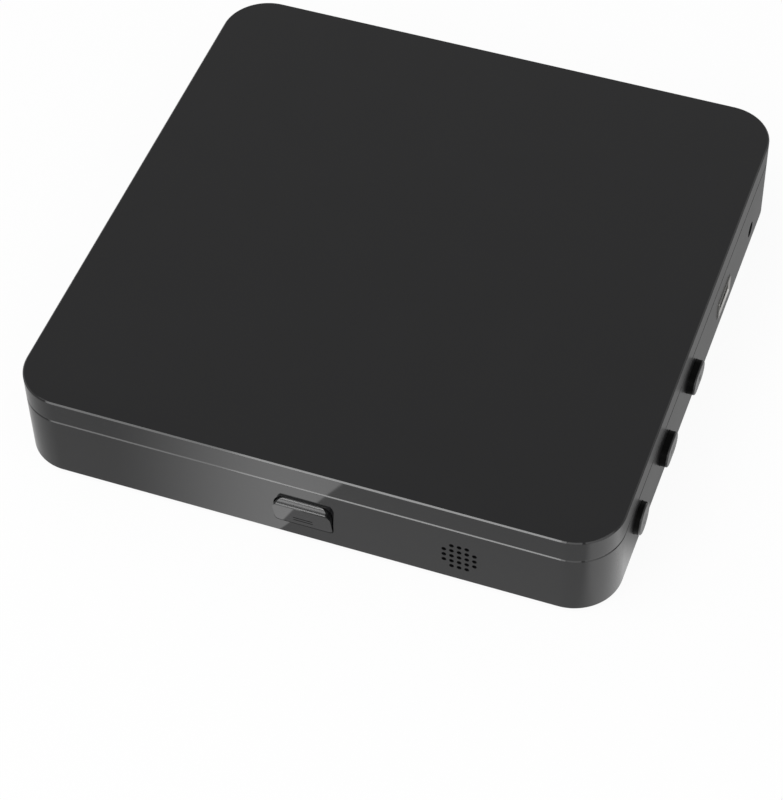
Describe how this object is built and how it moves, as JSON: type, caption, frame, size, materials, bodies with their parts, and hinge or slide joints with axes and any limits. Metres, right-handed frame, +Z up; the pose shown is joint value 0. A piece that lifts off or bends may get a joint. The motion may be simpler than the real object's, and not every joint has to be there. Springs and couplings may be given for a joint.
{
  "type": "disc player with flip-up lid",
  "caption": "Square flat disc player with a flip-up lid on a rear hinge, an open tab and a hole grid in front, and side buttons and sockets.",
  "frame": {"origin": "under the middle of the bounding box, on the table under the feet", "axes": "+X to the right seen from the front, +Y to the rear where the lid's hinge is, +Z up"},
  "size_m": [0.2026, 0.2102, 0.035],
  "materials": {
    "gloss_black": "polished black plastic",
    "case_black": "smooth black plastic",
    "tab_black": "smooth black plastic with grip lines",
    "button_grey": "satin dark grey plastic",
    "inner_black": "fine-grained black plastic",
    "white_plastic": "natural acetal",
    "window_black": "dark infrared window",
    "rubber": "matt black rubber",
    "grey_rubber": "soft grey rubber",
    "steel": "zinc-plated steel",
    "bright_steel": "polished steel",
    "spring_steel": "spring wire",
    "screw_black": "black screws",
    "board_green": "green solder mask",
    "chip_black": "moulded epoxy",
    "can_metal": "capacitor cans",
    "sink_aluminium": "anodised aluminium",
    "socket_steel": "nickel-plated steel",
    "jack_black": "black socket plastic",
    "copper": "copper windings",
    "magnet": "nickel-plated magnet",
    "lens_glass": "coated lens",
    "cable_white": "flat cable",
    "lamp": "clear lamp"
  },
  "bodies": {
    "base": {"base_shell": "case_black", "deck_plate": "inner_black", "foot_front_left": "rubber", "foot_front_right": "rubber", "foot_rear_left": "rubber", "foot_rear_right": "rubber", "case_screws": "screw_black", "deck_screws": "screw_black", "lid_buffers": "rubber", "hinge_bracket_left": "steel", "hinge_bracket_right": "steel", "hinge_pin_left": "bright_steel", "hinge_pin_right": "bright_steel", "friction_washers": "spring_steel", "latch_springs": "spring_steel", "latch_keeper": "steel", "side_switches": "chip_black", "main_board": "board_green", "board_screws": "steel", "system_chip": "chip_black", "heat_sink": "sink_aluminium", "memory_chips": "chip_black", "capacitors": "can_metal", "board_parts": "chip_black", "infrared_receiver": "chip_black", "status_lamp": "lamp", "receiver_window": "window_black", "lid_sensor": "chip_black", "usb_socket": "socket_steel", "headphone_jack": "jack_black", "hdmi_socket": "socket_steel", "coaxial_jack": "jack_black", "power_inlet": "jack_black", "loader_chassis": "steel", "damper_grommets": "grey_rubber", "loader_screws": "steel", "guide_rods": "bright_steel", "sled_motor": "steel", "pickup_cable": "cable_white", "motor_base": "steel", "motor_stator": "copper"},
    "lid": {"lid_shell": "gloss_black", "lid_liner": "inner_black", "lid_catch": "white_plastic", "lid_magnet": "magnet", "lid_screws": "screw_black"},
    "tab": {"open_tab": "tab_black"},
    "power_key": {"power_button": "button_grey"},
    "play_key": {"play_button": "button_grey"},
    "stop_key": {"stop_button": "button_grey"},
    "sled": {"pickup_sled": "inner_black"},
    "lens": {"lens_holder": "jack_black", "objective_lens": "lens_glass"},
    "lead_screw_body": {"lead_screw": "bright_steel"},
    "rotor": {"spindle_rotor": "steel", "turntable": "jack_black", "turntable_ring": "grey_rubber"},
    "claw_1": {"chuck_claw_1": "white_plastic"},
    "claw_2": {"chuck_claw_2": "white_plastic"},
    "claw_3": {"chuck_claw_3": "white_plastic"}
  },
  "joints": [
    {"name": "lid_hinge", "type": "hinge", "parent": "base", "child": "lid", "pos_m": [-0.00133, 0.0911, 0.0282], "axis": [-1, 0, 0], "range_deg": [0, 78]},
    {"name": "tab_press", "type": "slide", "parent": "base", "child": "tab", "axis": [0, 1, 0], "range_m": [0, 0.002], "stiffness_N_per_m": 700, "springref_m": -0.002, "deforming": ["latch_springs"]},
    {"name": "power_press", "type": "slide", "parent": "base", "child": "power_key", "axis": [-1, 0, 0], "range_m": [0, 0.0005], "stiffness_N_per_m": 1500, "springref_m": -0.0004},
    {"name": "play_press", "type": "slide", "parent": "base", "child": "play_key", "axis": [-1, 0, 0], "range_m": [0, 0.0005], "stiffness_N_per_m": 1500, "springref_m": -0.0004},
    {"name": "stop_press", "type": "slide", "parent": "base", "child": "stop_key", "axis": [-1, 0, 0], "range_m": [0, 0.0005], "stiffness_N_per_m": 1500, "springref_m": -0.0004},
    {"name": "sled_slide", "type": "slide", "parent": "base", "child": "sled", "axis": [0, -1, 0], "range_m": [0, 0.034], "deforming": ["pickup_cable"]},
    {"name": "lead_screw_turn", "type": "hinge", "parent": "base", "child": "lead_screw_body", "pos_m": [0.02718, -0.0119, 0.0112], "axis": [0, 1, 0], "range_deg": [0, 4080]},
    {"name": "lens_focus", "type": "slide", "parent": "sled", "child": "lens", "axis": [0, 0, 1], "range_m": [-0.0004, 0.0004], "stiffness_N_per_m": 150},
    {"name": "spindle_spin", "type": "hinge", "parent": "base", "child": "rotor", "pos_m": [-0.00133, -0.0029, 0.02335], "axis": [0, 0, 1], "continuous": true},
    {"name": "claw_1_slide", "type": "slide", "parent": "rotor", "child": "claw_1", "axis": [0, -1, 0], "range_m": [0, 0.0005], "stiffness_N_per_m": 400, "springref_m": -0.0005},
    {"name": "claw_2_slide", "type": "slide", "parent": "rotor", "child": "claw_2", "axis": [0.866, 0.5, 0], "range_m": [0, 0.0005], "stiffness_N_per_m": 400, "springref_m": -0.0005},
    {"name": "claw_3_slide", "type": "slide", "parent": "rotor", "child": "claw_3", "axis": [-0.866, 0.5, 0], "range_m": [0, 0.0005], "stiffness_N_per_m": 400, "springref_m": -0.0005}
  ],
  "couplings": [
    {"joint": "lead_screw_turn", "follows": "sled_slide", "rad_per_m": 2094.4}
  ]
}
